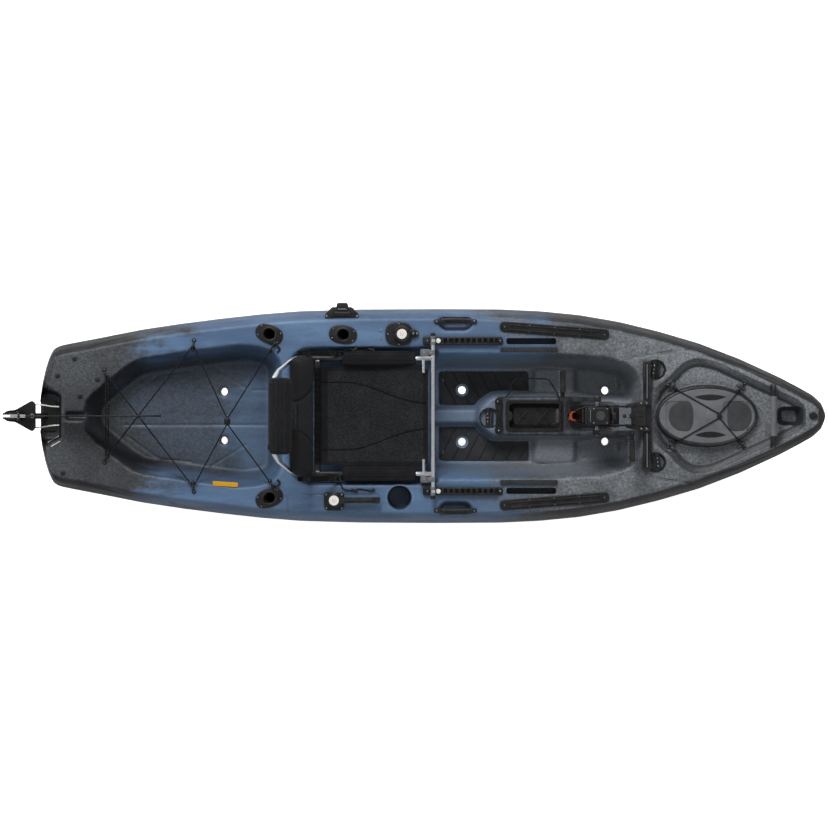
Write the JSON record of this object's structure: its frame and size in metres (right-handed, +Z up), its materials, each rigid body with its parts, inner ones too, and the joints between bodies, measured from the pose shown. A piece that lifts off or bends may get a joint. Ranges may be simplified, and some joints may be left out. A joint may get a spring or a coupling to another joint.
{
  "type": "pedal kayak",
  "caption": "Sit-on-top fishing kayak with a pedal drive, framed mesh seat, flip-over rudder, bow hatch and stern tankwell.",
  "frame": {"origin": "on the flat of the keel, below the cockpit", "axes": "+X towards the bow, +Y to port, +Z up"},
  "size_m": [3.3849, 0.913, 1.0864],
  "materials": {
    "hull_plastic": "moulded polyethylene, blue fading to charcoal",
    "black_plastic": "fine grain",
    "grey_plastic": "satin",
    "pale_cap": "satin",
    "orange_plastic": "satin",
    "bright_tube": "brushed",
    "black_aluminium": "anodised black",
    "steel": "brushed",
    "foam": "closed-cell foam",
    "fabric": "woven polyester",
    "mesh": "open mesh",
    "cord": "braided cord"
  },
  "bodies": {
    "hull": {"hull_shell": "hull_plastic", "port_gear_track": "black_plastic", "starboard_gear_track": "black_plastic", "port_notch_rail": "black_plastic", "starboard_notch_rail": "black_plastic", "front_cross_rail": "black_aluminium", "port_foot_mat": "foam", "starboard_foot_mat": "foam", "port_side_pad": "foam", "starboard_side_pad": "foam", "port_aft_rod_holder": "black_plastic", "starboard_aft_rod_holder": "black_plastic", "port_fwd_rod_holder": "black_plastic", "paddle_clip": "black_plastic", "steering_base": "black_plastic", "lift_base": "black_plastic", "well_tray": "black_plastic", "drive_dock": "black_plastic", "drive_bracket": "black_aluminium", "rudder_bracket": "black_aluminium", "rudder_pin": "steel", "tankwell_bungee": "cord", "bow_handle": "black_plastic", "port_steering_cable": "cord", "starboard_steering_cable": "cord", "bow_bungee": "cord"},
    "hatch": {"hatch_lid": "grey_plastic", "hatch_seal": "foam"},
    "drain": {"drain_plug": "black_plastic"},
    "port_handle": {"port_carry_handle": "black_plastic"},
    "starboard_handle": {"starboard_carry_handle": "black_plastic"},
    "rudder_head": {"rudder_yoke": "black_aluminium", "blade_bolt": "steel"},
    "blade": {"rudder_blade": "black_aluminium"},
    "lever": {"steering_lever": "black_plastic", "steering_lever_cap": "pale_cap"},
    "dial": {"lift_dial": "black_plastic", "lift_dial_cap": "pale_cap"},
    "seat": {"seat_frame": "bright_tube", "seat_sling": "mesh", "port_seat_bolster": "fabric", "starboard_seat_bolster": "fabric"},
    "backrest": {"backrest_frame": "bright_tube", "backrest_pad": "fabric", "head_roll": "fabric", "port_seat_strap": "fabric", "starboard_seat_strap": "fabric"},
    "drive": {"drive_hinge_pin": "steel", "drive_housing": "black_plastic", "drive_cover": "grey_plastic", "drive_leg": "black_plastic"},
    "release": {"release_handle": "orange_plastic"},
    "crank": {"crank_spindle": "steel", "crank_gear": "steel", "port_crank_arm": "black_aluminium", "starboard_crank_arm": "black_aluminium"},
    "port_pedal_body": {"port_pedal": "black_plastic"},
    "starboard_pedal_body": {"starboard_pedal": "black_plastic"},
    "shaft": {"drive_shaft": "steel"},
    "screw": {"propeller": "black_plastic"}
  },
  "joints": [
    {"name": "rudder_steer", "type": "hinge", "parent": "hull", "child": "rudder_head", "pos_m": [-1.66504, 0, 0.32], "axis": [0, 0, 1], "range_deg": [-35, 35]},
    {"name": "blade_flip", "type": "hinge", "parent": "rudder_head", "child": "blade", "pos_m": [-1.71804, 0, 0.385], "axis": [0, -1, 0], "range_deg": [0, 255]},
    {"name": "lift_turn", "type": "hinge", "parent": "hull", "child": "dial", "pos_m": [-0.14191, 0.3382, 0.34], "axis": [0, 0, 1], "range_deg": [0, 165]},
    {"name": "lever_turn", "type": "hinge", "parent": "hull", "child": "lever", "pos_m": [-0.42185, -0.34799, 0.35], "axis": [0, 0, 1], "range_deg": [-35, 35]},
    {"name": "seat_slide", "type": "slide", "parent": "hull", "child": "seat", "axis": [1, 0, 0], "range_m": [0, 0.1888]},
    {"name": "back_fold", "type": "hinge", "parent": "seat", "child": "backrest", "pos_m": [-0.53006, 0, 0.336], "axis": [0, 1, 0], "range_deg": [-8, 70], "deforming": ["port_seat_strap", "starboard_seat_strap"]},
    {"name": "drive_tilt", "type": "hinge", "parent": "hull", "child": "drive", "pos_m": [0.74196, 0, 0.33], "axis": [0, 1, 0], "range_deg": [0, 26]},
    {"name": "release_lift", "type": "hinge", "parent": "drive", "child": "release", "pos_m": [0.58096, 0, 0.221], "axis": [0, 1, 0], "range_deg": [0, 20], "stiffness_Nm_per_rad": 0.4},
    {"name": "crank_turn", "type": "hinge", "parent": "drive", "child": "crank", "pos_m": [0.66096, 0, 0.38], "axis": [0, 1, 0], "continuous": true},
    {"name": "port_pedal_turn", "type": "hinge", "parent": "crank", "child": "port_pedal_body", "pos_m": [0.52086, 0.12, 0.3323], "axis": [0, 1, 0], "continuous": true},
    {"name": "starboard_pedal_turn", "type": "hinge", "parent": "crank", "child": "starboard_pedal_body", "pos_m": [0.80106, -0.12, 0.4277], "axis": [0, 1, 0], "continuous": true},
    {"name": "shaft_turn", "type": "hinge", "parent": "drive", "child": "shaft", "pos_m": [0.66096, 0, 0.1], "axis": [0, 0, 1], "continuous": true},
    {"name": "screw_turn", "type": "hinge", "parent": "drive", "child": "screw", "pos_m": [0.6, 0, -0.24], "axis": [1, 0, 0], "continuous": true},
    {"name": "hatch_lift", "type": "slide", "parent": "hull", "child": "hatch", "axis": [0, 0, 1], "range_m": [0, 0.12], "deforming": ["bow_bungee"]},
    {"name": "drain_turn", "type": "hinge", "parent": "hull", "child": "drain", "pos_m": [1.55002, 0, 0.37], "axis": [0, 0, 1], "range_deg": [0, 90]},
    {"name": "port_handle_swing", "type": "hinge", "parent": "hull", "child": "port_handle", "pos_m": [0.07906, 0.3966, 0.3273], "axis": [-1, 0, 0], "range_deg": [0, 85]},
    {"name": "starboard_handle_swing", "type": "hinge", "parent": "hull", "child": "starboard_handle", "pos_m": [0.07906, -0.3966, 0.3273], "axis": [1, 0, 0], "range_deg": [0, 85]}
  ],
  "couplings": [
    {"joint": "lift_turn", "follows": "blade_flip", "ratio": 0.64},
    {"joint": "lever_turn", "follows": "rudder_steer", "ratio": -1},
    {"joint": "shaft_turn", "follows": "crank_turn", "ratio": 4},
    {"joint": "screw_turn", "follows": "crank_turn", "ratio": 10}
  ]
}
